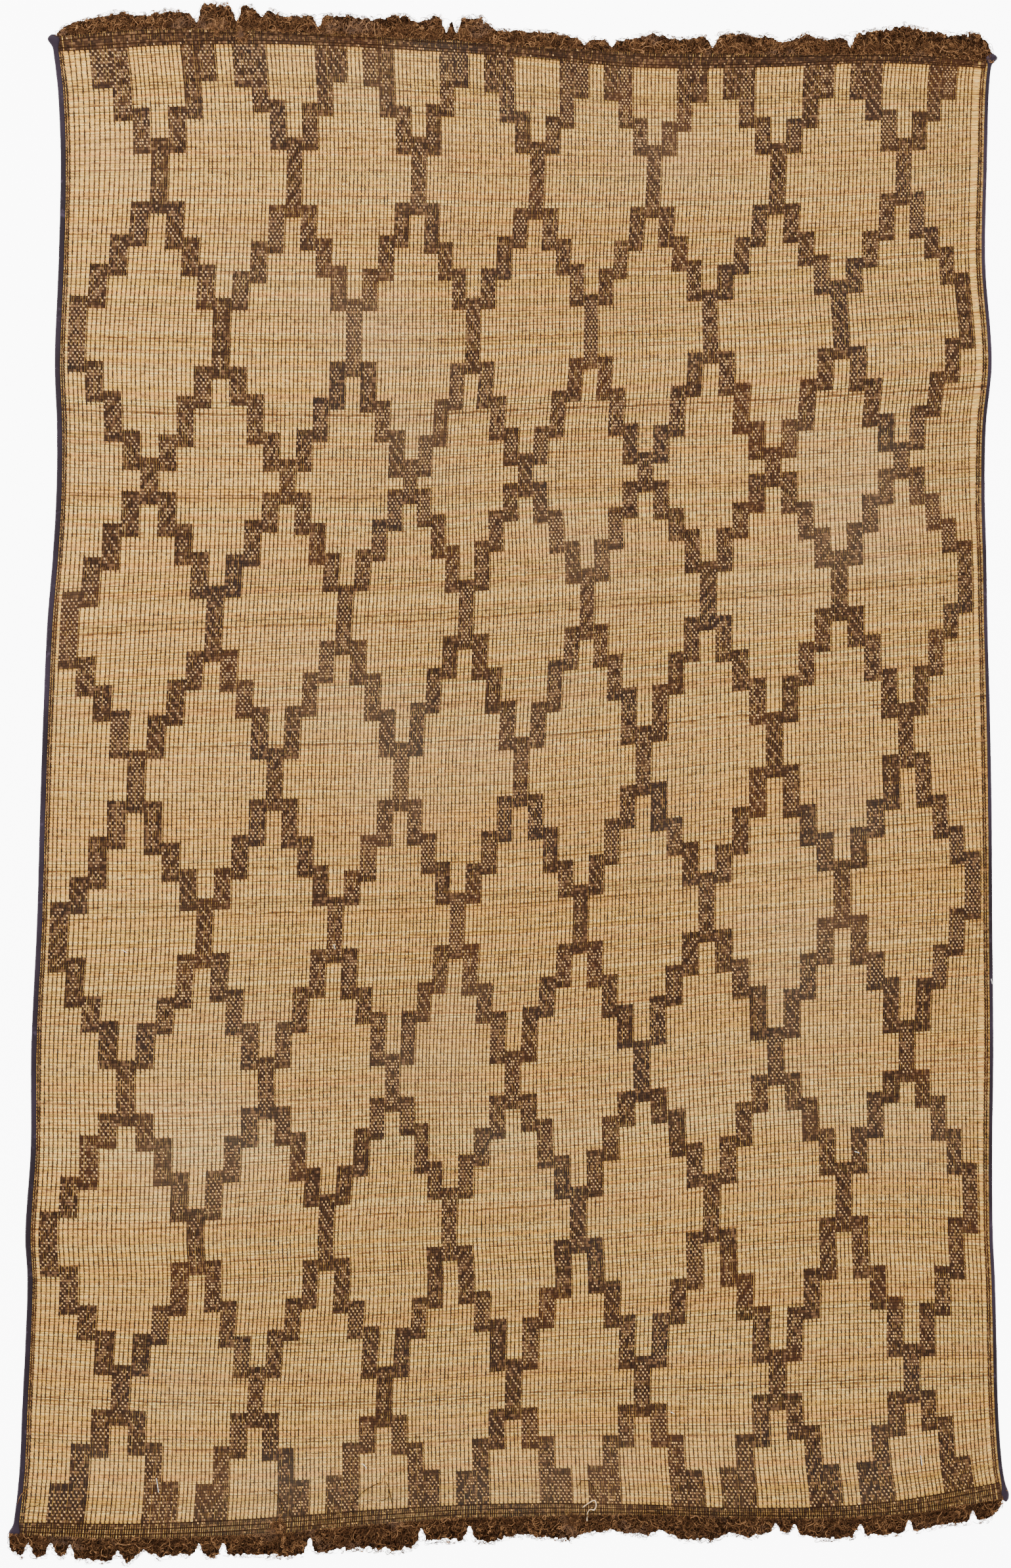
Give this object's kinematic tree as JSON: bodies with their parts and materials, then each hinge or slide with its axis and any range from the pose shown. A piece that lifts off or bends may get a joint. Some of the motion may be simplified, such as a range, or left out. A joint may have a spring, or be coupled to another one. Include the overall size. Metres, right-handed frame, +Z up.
{
  "type": "woven reed floor mat",
  "caption": "Flat floor mat of reeds bound by yarn warps, with a stepped lattice figure, folded side bindings and a curly fringe at each end.",
  "frame": {"origin": "on the floor, under the middle of the whole mat with its fringes", "axes": "+X along the reeds to the right edge, +Y along the warps to the top end, +Z up from the floor"},
  "size_m": [1.8786, 2.9086, 0.0084],
  "materials": {
    "reed_weave": "dry matt reed with a faint sheen along each stem, bound by dark brown yarn warps, with the stepped figure in dense brown yarn",
    "edge_binding": "worn aubergine strip with a soft satin sheen",
    "fringe_locks": "dry curly dark brown fibre with lighter worn curls"
  },
  "bodies": {
    "root": {"reed_field": "reed_weave", "left_binding": "edge_binding", "right_binding": "edge_binding", "top_fringe": "fringe_locks", "bottom_fringe": "fringe_locks"}
  },
  "joints": []
}
